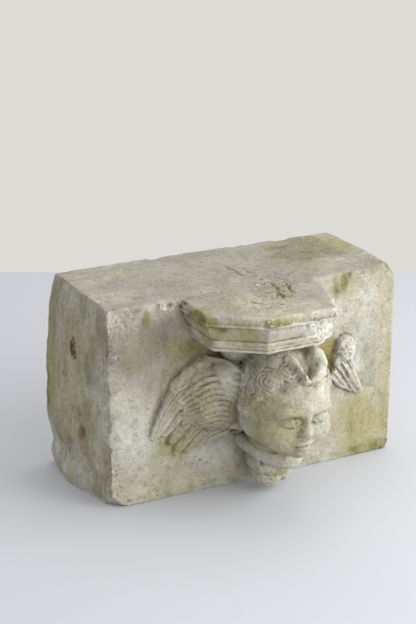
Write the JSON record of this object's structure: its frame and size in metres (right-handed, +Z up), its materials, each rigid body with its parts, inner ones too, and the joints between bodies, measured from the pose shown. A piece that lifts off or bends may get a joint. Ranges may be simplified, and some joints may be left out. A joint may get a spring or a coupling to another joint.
{
  "type": "stone corbel",
  "caption": "Squared limestone corbel block, weathered and chipped, its front carved with a winged child's head under a moulded half-octagonal cap that has lost its right end.",
  "frame": {"origin": "centre of the block's underside, on which it stands", "axes": "+Z up, +X along the block to the right as seen from the carved side, -Y out of the carved side"},
  "size_m": [0.4, 0.2841, 0.243],
  "materials": {
    "limestone": "weathered limestone, matt, with algae and dirt in the hollows"
  },
  "bodies": {
    "root": {"stone_corbel": "limestone"}
  },
  "joints": []
}
